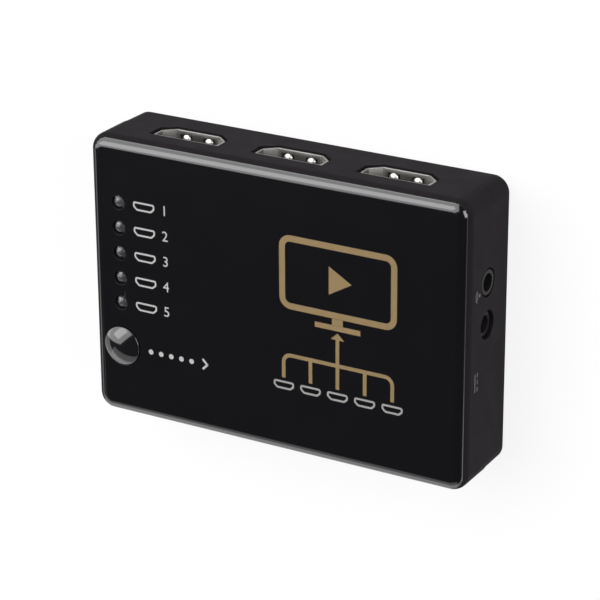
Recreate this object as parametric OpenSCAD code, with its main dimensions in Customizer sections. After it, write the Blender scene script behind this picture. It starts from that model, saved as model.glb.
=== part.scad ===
// Video switch box, five inputs to one output, in a moulded case of two covers.
// It lies flat as it is used: X runs along the socket sides, the jacks are at +X,
// and the labelled panel with its lamps and select button faces +Z.

/* [Covers] */
// Length of the case along the socket sides
case_length = 84; // [82:0.5:100]
// Width of the case from one socket side to the other
case_width = 59.5; // [57:0.5:75]
// Height of the case without the button
case_height = 17.9; // [17:0.1:22]
// Radius of the upright corners
corner_radius = 3.5; // [2.8:0.1:4]
// Radius of the round along the upper edge
top_edge_radius = 2.5; // [1:0.1:2.6]
// Radius of the round along the lower edge
base_edge_radius = 0.6; // [0.3:0.1:0.9]
// Thickness of the side walls
wall = 1.7; // [1.5:0.1:2]
// Thickness of the labelled panel
roof = 1.7; // [1.4:0.1:2.2]
// Thickness of the floor
floor_thickness = 1.8; // [1.5:0.1:2.2]
// Height of the joint line between the covers
joint_height = 7.5; // [7:0.1:8]
// Step of the lower cover behind the upper one at the joint line
base_inset = 0.1; // [0.05:0.05:0.2]
// Narrowing of each lower side from the joint line to the floor
base_draft = 0.1; // [0.1:0.1:0.6]

/* [Joint lip] */
// Height of the lip that enters the upper cover
lip_height = 1.2; // [0.8:0.1:1.6]
// Thickness of the lip
lip_thickness = 0.7; // [0.5:0.1:0.8]
// Clearance around the lip
lip_clearance = 0.1; // [0.05:0.05:0.2]

/* [Posts and screws] */
// Distance of the screws from the case ends
post_inset_x = 5.5; // [5.2:0.1:6]
// Distance of the screws from the socket sides
post_inset_y = 5.7; // [5.2:0.1:6]
// Radius of the posts on the floor
lower_post_radius = 3.2; // [3:0.1:3.4]
// Radius of the posts under the panel
upper_post_radius = 2.6; // [2.2:0.1:2.8]
// Height of the floor posts that carry the board
standoff_height = 2.9; // [2.5:0.1:3.5]
// Radius of the screw shank
screw_radius = 1.1; // [0.9:0.05:1.25]
// Length of the screw below its head
screw_length = 9; // [7:0.5:10]
// Radius of the screw head
screw_head_radius = 2.1; // [1.8:0.1:2.2]
// Height of the screw head
screw_head_height = 1.5; // [1.2:0.1:1.7]
// Depth of the pocket for the screw head
screw_pocket_depth = 2.2; // [2:0.1:2.5]
// Clearance around the head and around the shank below the upper post
screw_clearance = 0.25; // [0.15:0.05:0.3]
// Clearance of the shank in the upper post
screw_fit = 0.02; // [0.01:0.01:0.05]
// Width of the cross slot in the head
drive_width = 0.6; // [0.4:0.1:0.8]
// Length of the cross slot in the head
drive_length = 3; // [2.4:0.1:3.2]
// Depth of the cross slot in the head
drive_depth = 0.8; // [0.5:0.1:1]

/* [Circuit board] */
// Thickness of the board
board_thickness = 1.6; // [1.2:0.1:1.6]
// Space between the board and the side walls
board_gap = 0.4; // [0.3:0.1:0.6]
// Clearance around what passes through the board
hole_clearance = 0.2; // [0.1:0.05:0.25]
// Length of legs and leads below the board
leg_below = 0.8; // [0.5:0.1:1]

/* [Video sockets] */
// Distance of the outer sockets from the case ends
socket_inset = 18.8; // [18.4:0.1:20]
// Width of the mouth at its wide side
mouth_width = 14; // [13.8:0.1:14.4]
// Width of the mouth at its narrow side
mouth_narrow = 9.6; // [9.2:0.1:10.4]
// Height of the mouth
mouth_height = 4.55; // [4.4:0.05:4.8]
// Height of the slanted corners
mouth_slant = 1.95; // [1.6:0.05:2.2]
// Thickness of the shell's sheet
shell_thickness = 0.4; // [0.3:0.05:0.5]
// Depth of the shell behind its mouth
shell_depth = 11.9; // [11:0.1:13]
// Width of the rolled rim around the mouth
rim_width = 0.3; // [0.1:0.05:0.4]
// Depth of the rolled rim
rim_depth = 0.5; // [0.3:0.1:0.8]
// Distance of the mouth behind the side of the case
socket_recess = 0.3; // [0.1:0.05:0.5]
// Space between the rim and the cut-out in the case
socket_clearance = 0.25; // [0.15:0.05:0.35]
// Space between the shell and the board
socket_seat = 0.2; // [0.1:0.05:0.3]
// Width of the shell's legs
leg_width = 1; // [0.8:0.1:1.4]
// Distance of the front legs behind the mouth
front_leg_place = 4; // [3.5:0.1:5]
// Distance of the back legs behind the mouth
back_leg_place = 9.6; // [8:0.1:10]

/* [Spring fingers] */
// Spacing of the two spring fingers in the narrow wall
finger_spacing = 5.2; // [4.6:0.1:5.8]
// Width of a spring finger
finger_width = 1.6; // [1.6:0.1:2]
// Length of a spring finger
finger_length = 4.2; // [3.5:0.1:5]
// Distance of the finger tips behind the mouth
finger_place = 0.9; // [0.7:0.1:1.2]
// Width of the slit round a finger
slit_width = 0.25; // [0.2:0.05:0.35]
// Radius of the bump on a finger
bump_radius = 1; // [0.8:0.1:1]
// Height of the bump above the wall
bump_height = 0.35; // [0.2:0.05:0.4]
// Distance of the bump behind the finger tip
bump_place = 0.9; // [0.85:0.05:1.2]

/* [Socket cores and contacts] */
// Depth of the plastic core inside the shell
core_depth = 4; // [3:0.1:5]
// Length of the core behind the shell
core_tail = 0.5; // [0.4:0.1:0.8]
// Clearance between core and shell
core_fit = 0.03; // [0.02:0.01:0.1]
// Width of the tongue
tongue_width = 11.6; // [11:0.1:12]
// Thickness of the tongue
tongue_thickness = 1.75; // [1.5:0.05:1.9]
// Distance of the tongue's nose behind the mouth
tongue_setback = 2.2; // [1.8:0.1:2.6]
// Bevel at the tongue's nose
tongue_bevel = 0.4; // [0.2:0.05:0.5]
// Spacing of the contacts in a row
contact_pitch = 1; // [0.9:0.05:1.05]
// Width of a contact
contact_width = 0.35; // [0.25:0.05:0.4]
// Thickness of a contact
contact_thickness = 0.15; // [0.1:0.05:0.2]
// Height of a contact above the tongue
contact_proud = 0.03; // [0.02:0.01:0.05]
// Distance of the contact tips behind the tongue's nose
contact_setback = 0.6; // [0.5:0.1:1]
// Length of a contact's foot on the board
foot_length = 0.9; // [0.6:0.1:1.2]

/* [Lamps] */
// Distance of the lamps and the button from the end of the case
column_inset = 6.7; // [6.4:0.1:8]
// Distance of the first lamp from the socket side
lamp_inset = 13.48; // [12.5:0.01:14]
// Radius of the lens
lamp_radius = 1.45; // [1.2:0.05:1.5]
// Height of the lens from its foot to its top
lamp_height = 5.3; // [4.5:0.1:6]
// Height of the lens top above the panel
lamp_rise = 0.1; // [0:0.05:0.6]
// Width of the collar at the foot of the lens
lamp_collar = 0.2; // [0.1:0.05:0.3]
// Height of that collar
lamp_collar_height = 1; // [0.8:0.1:1.2]
// Clearance of the lens in the panel
lamp_clearance = 0.1; // [0.05:0.05:0.2]
// Width of a lamp lead
lead_width = 0.5; // [0.4:0.05:0.55]
// Spacing of the two leads
lead_spacing = 2; // [1.6:0.1:2.2]
// Depth of the leads inside the lens
lead_seat = 1.2; // [0.8:0.1:1.5]

/* [Select button] */
// Space between the button's flange and the nearest post
button_post_gap = 1.7; // [0.5:0.1:2]
// Distance of the button from the last lamp
button_spacing = 9.4; // [8.8:0.01:10.4]
// Radius of the button
button_radius = 4.1; // [3.6:0.1:4.2]
// Clearance of the button in the panel
button_clearance = 0.2; // [0.15:0.05:0.25]
// Height of the button's rim above the panel
button_rise = 0.2; // [0:0.1:0.6]
// Height of the button's dome above its rim
button_dome = 1.2; // [0.6:0.1:1.6]
// Radius of the flange under the panel
button_flange_radius = 5.2; // [4.8:0.1:5.4]
// Thickness of the flange
button_flange_thickness = 0.8; // [0.6:0.1:1]
// Space between flange and panel
button_flange_gap = 0.15; // [0.1:0.05:0.3]
// Space between the cut flange and the end wall
button_wall_gap = 0.4; // [0.3:0.05:0.5]
// Radius of the stem on the switch
button_stem_radius = 1.7; // [1.2:0.1:1.7]
// Travel of the button
press_travel = 0.3; // [0.2:0.05:0.35]

/* [Push switch] */
// Side of the square housing
switch_size = 6; // [5.8:0.1:6.2]
// Height of the housing above the board
switch_height = 3.3; // [3.1:0.1:3.6]
// Thickness of the steel plate on the housing
plate_thickness = 0.3; // [0.2:0.05:0.4]
// Radius of the plunger
plunger_radius = 1.75; // [1.7:0.05:1.9]
// Height of the plunger's top above the board
plunger_top = 5; // [4.3:0.1:5.5]
// Width of the plunger's flange
plunger_flange = 0.35; // [0.25:0.05:0.45]
// Height of the plunger's flange
plunger_flange_height = 0.6; // [0.4:0.1:0.8]
// Clearance around the plunger
plunger_clearance = 0.12; // [0.1:0.01:0.2]
// Thickness of the housing's floor
well_floor = 0.6; // [0.5:0.1:0.8]
// Height left under the snap dome when the button is down
snap_left = 0.15; // [0.1:0.05:0.3]
// Thickness of the snap dome
snap_thickness = 0.1; // [0.08:0.01:0.15]
// Space between the snap dome's rim and the well
snap_gap = 0.2; // [0.1:0.05:0.3]
// Radius of the plunger's nose
nose_radius = 0.8; // [0.6:0.1:1]
// Width of a terminal
terminal_width = 0.7; // [0.5:0.1:0.9]
// Thickness of a terminal
terminal_thickness = 0.3; // [0.2:0.05:0.4]
// Spacing of the terminals on one side
terminal_spacing = 4.5; // [4:0.1:5]
// Height of the terminals on the housing
terminal_height = 0.9; // [0.6:0.1:1.2]

/* [Jacks] */
// Space between the jack bodies and the end wall
jack_gap = 0.1; // [0.05:0.05:0.2]
// Distance between the axes of the two jacks
jack_pitch = 8.6; // [8:0.1:9]
// Height of the power jack's axis above the board
power_axis_height = 2.7; // [2.5:0.1:3]
// Width of the power jack's body
power_width = 6.4; // [6:0.1:6.8]
// Height of the power jack's body
power_height = 5.4; // [5.2:0.1:5.8]
// Length of the power jack's body
power_length = 11; // [10.5:0.1:12]
// Radius of the power jack's nose
power_nose_radius = 2.5; // [2.3:0.05:2.6]
// Distance of the power jack's nose behind the end of the case
power_nose_recess = 0.8; // [0.5:0.05:1.2]
// Radius of the power jack's bore
power_bore_radius = 1.75; // [1.7:0.05:1.9]
// Depth of the power jack's bore
power_bore_depth = 9; // [8.5:0.1:9.5]
// Radius of the centre pin
power_pin_radius = 0.65; // [0.5:0.05:0.7]
// Distance of the pin's tip behind the power jack's nose
power_pin_setback = 0.65; // [0.4:0.05:0.8]
// Bevel at the pin's tip
power_pin_bevel = 0.25; // [0.1:0.05:0.4]
// Clearance of the centre pin in the body
power_pin_fit = 0.02; // [0.01:0.01:0.05]
// Distance of the round jack from the socket side
round_inset = 18.5; // [18:0.1:18.8]
// Height of the round jack's axis above the board
round_axis_height = 2.7; // [2.5:0.1:3]
// Width of the round jack's body
round_width = 6; // [5.6:0.1:6.2]
// Height of the round jack's body
round_height = 5.3; // [5:0.1:5.6]
// Length of the round jack's body
round_length = 12; // [11.5:0.1:13]
// Radius of the round jack's nose
round_nose_radius = 2.5; // [2.3:0.05:2.6]
// Distance of the nose behind the end of the case
round_nose_recess = 0.15; // [0.05:0.05:0.3]
// Radius of the round jack's bore
round_bore_radius = 1.8; // [1.75:0.01:1.9]
// Depth of the round jack's bore
round_bore_depth = 12.6; // [11.5:0.1:13]
// Margin of the case holes around the jacks
jack_hole_margin = 0.4; // [0.2:0.05:0.5]
// Thickness of the springs in the jacks
spring_thickness = 0.25; // [0.2:0.05:0.3]
// Width of the springs in the jacks
spring_width = 1.6; // [1.2:0.1:1.8]
// Clearance of the springs from the bores
spring_clearance = 0.06; // [0.04:0.01:0.1]
// Depth by which the spring slots open into the bores
slot_opening = 0.35; // [0.3:0.05:0.5]
// Distance of the front springs behind the round jack's shoulder
round_front_spring = 2.4; // [2:0.1:3]
// Distance of the back spring behind that shoulder
round_back_spring = 9.6; // [8:0.1:10]
// Distance of the power jack's spring behind its shoulder
power_spring_place = 2.2; // [1.5:0.1:3]

/* [Chips] */
// Side of the selector chip
selector_size = 12; // [11:0.5:13]
// Height of the selector chip
selector_height = 1.2; // [1:0.1:1.4]
// Spacing of the selector chip's leads
selector_pitch = 0.5; // [0.4:0.05:0.5]
// Width of the selector chip's leads
selector_lead_width = 0.22; // [0.15:0.01:0.25]
// Length of the controller chip
controller_length = 10; // [9.5:0.1:11]
// Width of the controller chip
controller_width = 4; // [3.8:0.1:4.6]
// Height of the controller chip
controller_height = 1.5; // [1.2:0.1:1.7]
// Spacing of the controller chip's leads
controller_pitch = 1.27; // [1:0.01:1.3]
// Width of the controller chip's leads
controller_lead_width = 0.42; // [0.3:0.01:0.5]
// Distance of the controller chip's middle from the selector chip
controller_offset = 12; // [11:0.5:13]
// Length of the regulator
regulator_length = 6.5; // [6:0.1:7]
// Width of the regulator
regulator_width = 3.5; // [3.3:0.1:4]
// Height of the regulator
regulator_height = 1.6; // [1.4:0.1:1.8]
// Spacing of the regulator's leads
regulator_pitch = 2.3; // [2:0.1:2.4]
// Width of the regulator's leads
regulator_lead_width = 0.7; // [0.5:0.05:0.8]
// Space between the chips and the board
chip_gap = 0.1; // [0.05:0.05:0.2]
// Thickness of the chip leads
chip_lead_thickness = 0.15; // [0.1:0.05:0.2]
// Reach of the chip leads beside the chips
chip_lead_reach = 1; // [0.8:0.1:1.2]

/* [Small parts] */
// Radius of the filter capacitor's can
can_radius = 3.1; // [2.5:0.1:3.2]
// Height of the can
can_height = 5.4; // [4.5:0.1:6]
// Side of the can's square base
can_base_size = 6.6; // [6.4:0.1:7]
// Thickness of the can's base
can_base_thickness = 0.8; // [0.6:0.1:1]
// Space between the can's base and the power jack
can_gap = 5.9; // [5:0.1:7]
// Space between the larger parts and the resistors
part_gap = 0.45; // [0.3:0.05:0.6]
// Length of the small capacitors
capacitor_length = 2; // [1.6:0.1:2.2]
// Width of the small capacitors
capacitor_width = 1.25; // [0.8:0.05:1.3]
// Height of the small capacitors
capacitor_height = 0.8; // [0.6:0.1:1.2]
// Distance of the small capacitors from the selector chip
capacitor_ring = 3; // [2.2:0.1:3.2]
// Spacing of the small capacitors beside each edge
capacitor_spacing = 5; // [3:0.1:6]
// Length of the resistors
resistor_length = 1.6; // [1.2:0.1:1.8]
// Width of the resistors
resistor_width = 0.8; // [0.6:0.05:0.9]
// Height of the resistors
resistor_height = 0.45; // [0.35:0.05:0.6]
// Distance of the resistors behind the socket contacts
resistor_row = 2.4; // [1.4:0.1:2.6]
// Spacing of the resistors in a row
resistor_spacing = 2; // [1.2:0.1:2.4]
// Distance of the lamp resistors from the lamps
lamp_resistor_offset = 5; // [4:0.1:6]

/* [Hidden] */
$fn = 64;
// Small overrun that lets cuts pass the faces they open
cut = 1;
// Small depth by which joined shapes enter each other
merge = 0.02;

// Heights of the floor, the board and the panel
board_bottom = floor_thickness + standoff_height;
board_top = board_bottom + board_thickness;
roof_bottom = case_height - roof;

// Plan of the case
half_length = case_length / 2;
half_width = case_width / 2;
corner_x = half_length - corner_radius;
corner_y = half_width - corner_radius;
inner_length = case_length - 2 * wall;
inner_width = case_width - 2 * wall;
inner_radius = corner_radius - wall;
post_x = half_length - post_inset_x;
post_y = half_width - post_inset_y;

// Sockets: three on each long side, numbered along +Y first
socket_columns = 3;
socket_count = 2 * socket_columns;
socket_pitch = 2 * (half_length - socket_inset) / (socket_columns - 1);
socket_z = board_top + socket_seat + shell_thickness + mouth_height / 2;
mouth_bottom = -mouth_height / 2;
core_back = shell_depth + core_tail;
board_top_local = board_top - socket_z;
board_bottom_local = board_bottom - socket_z;
upper_contacts = 10;
lower_contacts = 9;

// Lamps and button share a column near the end of the case
lamp_count = 5;
column_x = column_inset - half_length;
button_y = button_post_gap + button_flange_radius + upper_post_radius - post_y;
lamp_first_y = half_width - lamp_inset;
lamp_pitch = (lamp_first_y - button_y - button_spacing) / (lamp_count - 1);
lamp_top = case_height + lamp_rise;
lamp_foot = lamp_top - lamp_height;

// Heights of the button and its switch
button_rim_z = case_height + button_rise;
button_flange_top = roof_bottom - button_flange_gap;
button_flange_bottom = button_flange_top - button_flange_thickness;
plunger_z = board_top + plunger_top;
dome_sphere = (button_radius ^ 2 + button_dome ^ 2) / (2 * button_dome);
switch_top = board_top + switch_height;
well_bottom = board_top + well_floor;
well_radius = plunger_radius + plunger_flange + plunger_clearance;
plunger_flange_top = switch_top - plunger_clearance;
snap_radius = well_radius - snap_gap;
snap_height = press_travel + snap_left;
snap_sphere = (snap_radius ^ 2 + snap_height ^ 2) / (2 * snap_height);

// Jack faces and axes
jack_face = half_length - wall - jack_gap;
round_y = half_width - round_inset;
power_y = round_y - jack_pitch;
power_z = board_top + power_axis_height;
round_z = board_top + round_axis_height;
round_mouth = half_length - round_nose_recess;
round_spring_y = round_bore_radius + spring_clearance;
round_slot_y = round_bore_radius - slot_opening;
// Side and depth of the round jack's springs: two on its far side, one on its near side
round_springs = [[1, round_front_spring], [1, round_back_spring], [-1, round_front_spring]];
power_mouth = half_length - power_nose_recess;
power_bore_end = power_mouth - power_bore_depth;
power_pin_shoulder = power_mouth - power_pin_setback - power_pin_bevel;
power_spring_y = power_bore_radius + spring_clearance;
power_spring_back = power_bore_end - spring_width / 2;
power_spring_length = jack_face - power_spring_place - power_spring_back;

// Places of the chips and small parts on the board
selector_lead_count = 20;
controller_lead_count = 8;
resistor_columns = 4;
resistor_depth = core_back + foot_length + resistor_row;
parts_edge = half_width - socket_recess - resistor_depth - resistor_length / 2 - part_gap;
controller_place = [-selector_size / 2 - controller_offset, 0];
can_place = [
    jack_face - power_length - can_gap - can_base_size / 2,
    parts_edge - can_base_size / 2
];
regulator_place = [can_place[0], regulator_length / 2 - parts_edge];

// Outline of a video socket's mouth, grown evenly outwards
function socket_outline(grow) =
    let (
        wide = mouth_width / 2,
        run = (mouth_width - mouth_narrow) / 2,
        slope = norm([run, mouth_slant]),
        out_x = mouth_slant / slope,
        out_z = run / slope,
        side_x = wide + grow,
        side_z = mouth_bottom + mouth_slant - grow * (1 - out_x) / out_z,
        foot_x = wide + (grow - out_z * (grow + mouth_slant)) / out_x,
        foot_z = mouth_bottom - grow
    )
    [
        [-side_x, mouth_height / 2 + grow],
        [-side_x, side_z],
        [-foot_x, foot_z],
        [foot_x, foot_z],
        [side_x, side_z],
        [side_x, mouth_height / 2 + grow]
    ];

// Box centred on the axis, from one height to another
module column(size_x, size_y, low, high)
    translate([-size_x / 2, -size_y / 2, low])
        cube([size_x, size_y, high - low]);

// Rectangle with round corners
module rounded_plate(size_x, size_y, radius) {
    square([size_x - 2 * radius, size_y], center = true);
    square([size_x, size_y - 2 * radius], center = true);
    for (x = [-1, 1], y = [-1, 1])
        translate([x * (size_x / 2 - radius), y * (size_y / 2 - radius)])
            circle(radius);
}

// Extrusion from a mouth into the case, along -Y
module inwards(depth)
    rotate([90, 0, 0])
        linear_extrude(depth)
            children();

// Cylinder along X from one place to another
module rod_x(radius, from_x, to_x)
    translate([from_x, 0, 0])
        rotate([0, 90, 0])
            cylinder(r = radius, h = to_x - from_x);

module at_posts()
    for (x = [-1, 1], y = [-1, 1])
        translate([x * post_x, y * post_y, 0])
            children();

// Moves a socket to its place: the first half on the +Y side, the rest on the -Y side
module at_socket(number) {
    side = number <= socket_columns ? 1 : -1;
    column_number = (number - 1) % socket_columns - (socket_columns - 1) / 2;
    translate([side * column_number * socket_pitch, side * (half_width - socket_recess), socket_z])
        rotate(side > 0 ? 0 : 180)
            children();
}

module at_lamp(number)
    translate([column_x, lamp_first_y - (number - 1) * lamp_pitch, 0])
        children();

module at_button()
    translate([column_x, button_y, 0])
        children();

module at_power_jack()
    translate([0, power_y, power_z])
        children();

module at_round_jack()
    translate([0, round_y, round_z])
        children();

// Half section of the upper cover, from its middle to its wall
module upper_section(reach) {
    translate([0, joint_height])
        square([reach, case_height - joint_height - top_edge_radius]);
    translate([0, joint_height])
        square([reach - top_edge_radius, case_height - joint_height]);
    translate([reach - top_edge_radius, case_height - top_edge_radius])
        intersection() {
            circle(top_edge_radius);
            square(top_edge_radius);
        }
}

// Half section of the lower cover, whose wall leans in towards the floor
module lower_section(reach) {
    lean = atan(base_draft / joint_height);
    centre = reach - base_inset - base_draft - base_edge_radius * (1 - sin(lean)) / cos(lean);
    polygon([
        [0, 0],
        [centre, 0],
        [centre + base_edge_radius * cos(lean), base_edge_radius * (1 - sin(lean))],
        [reach - base_inset, joint_height],
        [0, joint_height]
    ]);
    translate([centre, base_edge_radius])
        intersection() {
            circle(base_edge_radius);
            translate([0, -base_edge_radius])
                square([base_edge_radius, base_edge_radius]);
        }
}

module cover_section(reach, upper)
    if (upper)
        upper_section(reach);
    else
        lower_section(reach);

module full_section(reach, upper) {
    cover_section(reach, upper);
    mirror([1, 0])
        cover_section(reach, upper);
}

// Solid block of one cover: round corners and the two spans between them
module cover_block(upper) {
    for (x = [-1, 1], y = [-1, 1])
        translate([x * corner_x, y * corner_y, 0])
            rotate_extrude()
                cover_section(corner_radius, upper);
    translate([-corner_x, 0, 0])
        rotate([90, 0, 90])
            linear_extrude(2 * corner_x)
                full_section(half_width, upper);
    translate([0, corner_y, 0])
        rotate([90, 0, 0])
            linear_extrude(2 * corner_y)
                full_section(half_length, upper);
}

module hollow(low, high, grow = 0)
    translate([0, 0, low])
        linear_extrude(high - low)
            rounded_plate(inner_length + 2 * grow, inner_width + 2 * grow, inner_radius + grow);

// Openings that both covers share along the joint line
module side_openings() {
    for (number = [1 : socket_count])
        at_socket(number)
            translate([0, socket_recess + cut, 0])
                inwards(socket_recess + wall + 2 * cut)
                    polygon(socket_outline(shell_thickness + rim_width + socket_clearance));
    at_power_jack()
        rod_x(power_nose_radius + jack_hole_margin, half_length - wall - cut, half_length + cut);
    at_round_jack()
        rod_x(round_nose_radius + jack_hole_margin, half_length - wall - cut, half_length + cut);
}

module top_cover()
    color("#1a1a1d")
        difference() {
            union() {
                difference() {
                    cover_block(true);
                    hollow(joint_height - cut, roof_bottom);
                    hollow(joint_height - cut, joint_height + lip_height + lip_clearance,
                        lip_thickness + lip_clearance);
                }
                at_posts()
                    translate([0, 0, board_top])
                        cylinder(r = upper_post_radius, h = roof_bottom - board_top + roof / 2);
            }
            side_openings();
            at_posts()
                translate([0, 0, board_top - cut])
                    cylinder(r = screw_radius + screw_fit,
                        h = screw_pocket_depth + screw_length - board_top + 2 * cut);
            for (number = [1 : lamp_count])
                at_lamp(number)
                    translate([0, 0, roof_bottom - cut])
                        cylinder(r = lamp_radius + lamp_clearance, h = roof + 2 * cut);
            at_button()
                translate([0, 0, roof_bottom - cut])
                    cylinder(r = button_radius + button_clearance, h = roof + 2 * cut);
        }

module bottom_cover()
    color("#1a1a1d")
        difference() {
            union() {
                difference() {
                    cover_block(false);
                    hollow(floor_thickness, joint_height + cut);
                }
                difference() {
                    hollow(joint_height, joint_height + lip_height, lip_thickness);
                    hollow(joint_height - cut, joint_height + lip_height + cut);
                }
                at_posts()
                    translate([0, 0, floor_thickness / 2])
                        cylinder(r = lower_post_radius, h = board_bottom - floor_thickness / 2);
            }
            side_openings();
            at_posts() {
                translate([0, 0, -cut])
                    cylinder(r = screw_head_radius + screw_clearance, h = screw_pocket_depth + cut);
                cylinder(r = screw_radius + screw_clearance, h = board_bottom + cut);
            }
        }

module case_screws()
    color("#8f9296")
        at_posts()
            difference() {
                union() {
                    translate([0, 0, screw_pocket_depth - screw_head_height])
                        cylinder(r = screw_head_radius, h = screw_head_height);
                    translate([0, 0, screw_pocket_depth])
                        cylinder(r = screw_radius, h = screw_length);
                }
                translate([0, 0, screw_pocket_depth - screw_head_height]) {
                    column(drive_length, drive_width, -cut, drive_depth);
                    column(drive_width, drive_length, -cut, drive_depth);
                }
            }

// Legs of a video socket's shell, grown where the board lets them through
module socket_legs(grow = 0)
    for (side = [-1, 1], place = [front_leg_place, back_leg_place])
        translate([side * (mouth_width + shell_thickness) / 2, -place, 0])
            column(shell_thickness + 2 * grow, leg_width + 2 * grow,
                board_bottom_local - leg_below, mouth_bottom + mouth_slant + leg_width);

// The two leads of a lamp, grown where the board lets them through
module lamp_pair(grow = 0)
    for (side = [-1, 1])
        translate([side * lead_spacing / 2, 0, 0])
            column(lead_width + 2 * grow, lead_width + 2 * grow,
                board_bottom - leg_below, lamp_foot + lead_seat);

// The four terminals of the push switch
module terminal_blades(grow = 0)
    at_button()
        for (x = [-1, 1], y = [-1, 1])
            translate([x * (switch_size + terminal_thickness) / 2, y * terminal_spacing / 2, 0])
                column(terminal_thickness + 2 * grow, terminal_width + 2 * grow,
                    board_bottom - leg_below, board_top + terminal_height);

// Tail of the power jack's centre pin, behind the body
module power_tail(grow = 0)
    translate([jack_face - power_length - spring_thickness / 2, 0, 0])
        column(spring_thickness + 2 * grow, spring_width + 2 * grow,
            board_bottom - power_z - leg_below, power_pin_radius);

// Terminal of the power jack's sleeve spring, beside the body
module power_terminal(grow = 0)
    translate([power_bore_end, -(power_width + spring_thickness) / 2, 0])
        column(spring_width + 2 * grow, spring_thickness + 2 * grow,
            board_bottom - power_z - leg_below, spring_width / 2);

// Leg of a spring in the round jack, beside the body
module round_leg(spring, grow = 0)
    translate([jack_face - spring[1], spring[0] * (round_width + spring_thickness) / 2, 0])
        column(spring_width + 2 * grow, spring_thickness + 2 * grow,
            board_bottom - round_z - leg_below, spring_width / 2);

module circuit_board()
    color("#1f5c3a")
        difference() {
            translate([0, 0, board_bottom])
                linear_extrude(board_thickness)
                    rounded_plate(inner_length - 2 * board_gap, inner_width - 2 * board_gap, inner_radius);
            at_posts()
                translate([0, 0, board_bottom - cut])
                    cylinder(r = screw_radius + screw_clearance, h = board_thickness + 2 * cut);
            for (number = [1 : socket_count])
                at_socket(number)
                    socket_legs(hole_clearance);
            for (number = [1 : lamp_count])
                at_lamp(number)
                    lamp_pair(hole_clearance);
            terminal_blades(hole_clearance);
            at_power_jack() {
                power_tail(hole_clearance);
                power_terminal(hole_clearance);
            }
            at_round_jack()
                for (spring = round_springs)
                    round_leg(spring, hole_clearance);
        }

// Places of the two spring fingers in the shell's narrow wall
module at_fingers()
    for (side = [-1, 1])
        translate([side * finger_spacing / 2, -finger_place, 0])
            children();

// Slit round three sides of a spring finger
module finger_slit() {
    depth = 2 * shell_thickness;
    translate([0, 0, mouth_bottom - shell_thickness / 2 - depth / 2])
        difference() {
            translate([-finger_width / 2 - slit_width, -finger_length, 0])
                cube([finger_width + 2 * slit_width, finger_length + slit_width, depth]);
            translate([-finger_width / 2, -finger_length - cut, -cut])
                cube([finger_width, finger_length + cut, depth + 2 * cut]);
        }
}

// Round bump that presses on the plug
module finger_bump()
    translate([0, -bump_place, mouth_bottom])
        intersection() {
            translate([0, 0, bump_height - bump_radius])
                sphere(bump_radius);
            column(2 * bump_radius, 2 * bump_radius, -merge, bump_height + cut);
        }

module video_socket_shell()
    color("#c9c9c6") {
        difference() {
            union() {
                inwards(shell_depth)
                    polygon(socket_outline(shell_thickness));
                inwards(rim_depth)
                    polygon(socket_outline(shell_thickness + rim_width));
                socket_legs();
            }
            translate([0, cut, 0])
                inwards(shell_depth + 2 * cut)
                    polygon(socket_outline(0));
            at_fingers()
                finger_slit();
        }
        at_fingers()
            finger_bump();
    }

// Contacts lie in two rows on the tongue, the lower row half a step aside
function contact_row(count) = [for (i = [0 : count - 1]) (i - (count - 1) / 2) * contact_pitch];

module at_contacts() {
    for (x = contact_row(upper_contacts))
        translate([x, 0, tongue_thickness / 2 + contact_proud - contact_thickness])
            children(0);
    for (x = contact_row(lower_contacts))
        translate([x, 0, -tongue_thickness / 2 - contact_proud])
            children(0);
}

// Straight blade of a contact, along the tongue and through the core
module contact_blade(extra = 0)
    translate([-contact_width / 2, -core_back - extra, 0])
        cube([contact_width, core_back + extra - tongue_setback - contact_setback, contact_thickness]);

module video_socket_core()
    color("#202022")
        difference() {
            union() {
                translate([0, core_depth - shell_depth, 0])
                    inwards(core_depth + core_tail)
                        polygon(socket_outline(-core_fit));
                translate([-tongue_width / 2, 0, 0])
                    rotate([90, 0, 90])
                        linear_extrude(tongue_width)
                            polygon([
                                [-shell_depth, -tongue_thickness / 2],
                                [-tongue_setback - tongue_bevel, -tongue_thickness / 2],
                                [-tongue_setback, -tongue_thickness / 2 + tongue_bevel],
                                [-tongue_setback, tongue_thickness / 2 - tongue_bevel],
                                [-tongue_setback - tongue_bevel, tongue_thickness / 2],
                                [-shell_depth, tongue_thickness / 2]
                            ]);
            }
            at_contacts()
                contact_blade(cut);
        }

// One row of contacts: blade, riser behind the core and foot on the board
module contact_line(count, blade_z)
    for (x = contact_row(count))
        translate([x, 0, 0]) {
            translate([0, 0, blade_z])
                contact_blade(contact_thickness);
            translate([0, -core_back - contact_thickness / 2, 0])
                column(contact_width, contact_thickness, board_top_local, blade_z + contact_thickness);
            translate([0, -core_back - foot_length / 2, 0])
                column(contact_width, foot_length, board_top_local, board_top_local + contact_thickness);
        }

module video_socket_contacts()
    color("#c9a24a") {
        contact_line(upper_contacts, tongue_thickness / 2 + contact_proud - contact_thickness);
        contact_line(lower_contacts, -tongue_thickness / 2 - contact_proud);
    }

module indicator_lamp()
    color("#d8dce0")
        difference() {
            union() {
                translate([0, 0, lamp_foot])
                    cylinder(r = lamp_radius, h = lamp_height - lamp_radius);
                translate([0, 0, lamp_top - lamp_radius])
                    sphere(lamp_radius);
                translate([0, 0, lamp_foot])
                    cylinder(r = lamp_radius + lamp_collar, h = lamp_collar_height);
            }
            lamp_pair();
        }

module lamp_leads()
    color("#b9bbbd")
        for (number = [1 : lamp_count])
            at_lamp(number)
                lamp_pair();

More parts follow.
